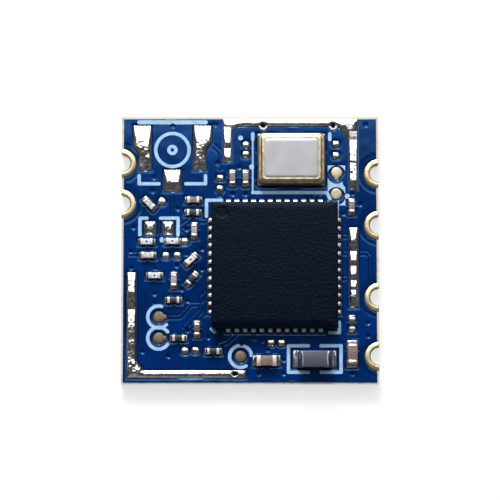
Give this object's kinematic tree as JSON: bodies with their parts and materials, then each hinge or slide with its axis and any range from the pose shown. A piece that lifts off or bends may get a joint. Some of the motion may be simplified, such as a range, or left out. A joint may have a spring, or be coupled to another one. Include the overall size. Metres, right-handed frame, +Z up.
{
  "type": "wifi module",
  "caption": "Square surface-mount WiFi module: blue circuit board with plated half-hole edge terminals, a radio chip, a crystal and chip parts, shield can not fitted.",
  "frame": {"origin": "centre of the board's underside, in the plane of the bottom lands", "axes": "+Z up, out of the face that carries the parts; +Y along the board's longer side, towards the crystal's end; +X across the board, towards the edge with four half-holes"},
  "size_m": [0.0122, 0.0128, 0.0017],
  "materials": {
    "laminate": "bare glass-epoxy, sawn edges",
    "mask": "blue solder mask, satin gloss",
    "ink": "pale printed ink, matte",
    "copper": "copper under solder",
    "gold": "gold-flashed copper, satin",
    "solder": "bright reflowed tin solder",
    "chip_mould": "black moulding compound, fine grain",
    "lead": "matte tin on copper lead frame",
    "crystal_ceramic": "dark fired alumina, matte",
    "crystal_lid": "nickel-plated lid, satin",
    "quartz": "polished quartz",
    "end_cap": "plated tin, satin",
    "capacitor_ceramic": "brown-grey barium titanate, satin",
    "resistor_coat": "black glass coat, satin",
    "inductor_ceramic": "white fired ceramic, satin",
    "power_inductor_body": "dark ferrite, satin"
  },
  "bodies": {
    "root": {"laminate": "laminate", "solder_mask_top": "mask", "solder_mask_bottom": "mask", "silkscreen": "ink", "copper_lands": "copper", "test_point_lands": "gold", "via_barrels": "copper", "connector_solder": "solder", "bare_pad_solder": "solder", "shield_solder_top": "solder", "shield_solder_left": "solder", "shield_solder_right": "solder", "chip_solder": "solder", "part_solder": "solder", "chip_body": "chip_mould", "chip_leads": "lead", "chip_ground_pad": "lead", "crystal_pads": "gold", "crystal_base": "crystal_ceramic", "quartz_blank": "quartz", "crystal_seal_ring": "gold", "crystal_lid": "crystal_lid", "power_inductor_body": "power_inductor_body", "power_inductor_ends": "end_cap", "large_capacitor_ends": "end_cap", "capacitor_ends": "end_cap", "resistor_ends": "end_cap", "inductor_ends": "end_cap", "terminal_left_1": "gold", "terminal_left_2": "gold", "terminal_right_1": "gold", "terminal_right_2": "gold", "terminal_right_3": "gold", "terminal_right_4": "gold", "large_capacitor_1": "capacitor_ceramic", "large_capacitor_2": "capacitor_ceramic", "capacitor_1": "capacitor_ceramic", "capacitor_2": "capacitor_ceramic", "capacitor_3": "capacitor_ceramic", "capacitor_4": "capacitor_ceramic", "capacitor_5": "capacitor_ceramic", "capacitor_6": "capacitor_ceramic", "capacitor_7": "capacitor_ceramic", "capacitor_8": "capacitor_ceramic", "capacitor_9": "capacitor_ceramic", "resistor_1": "resistor_coat", "resistor_2": "resistor_coat", "resistor_3": "resistor_coat", "resistor_4": "resistor_coat", "resistor_5": "resistor_coat", "resistor_6": "resistor_coat", "inductor_1": "inductor_ceramic", "inductor_2": "inductor_ceramic", "inductor_3": "inductor_ceramic", "inductor_4": "inductor_ceramic"}
  },
  "joints": []
}
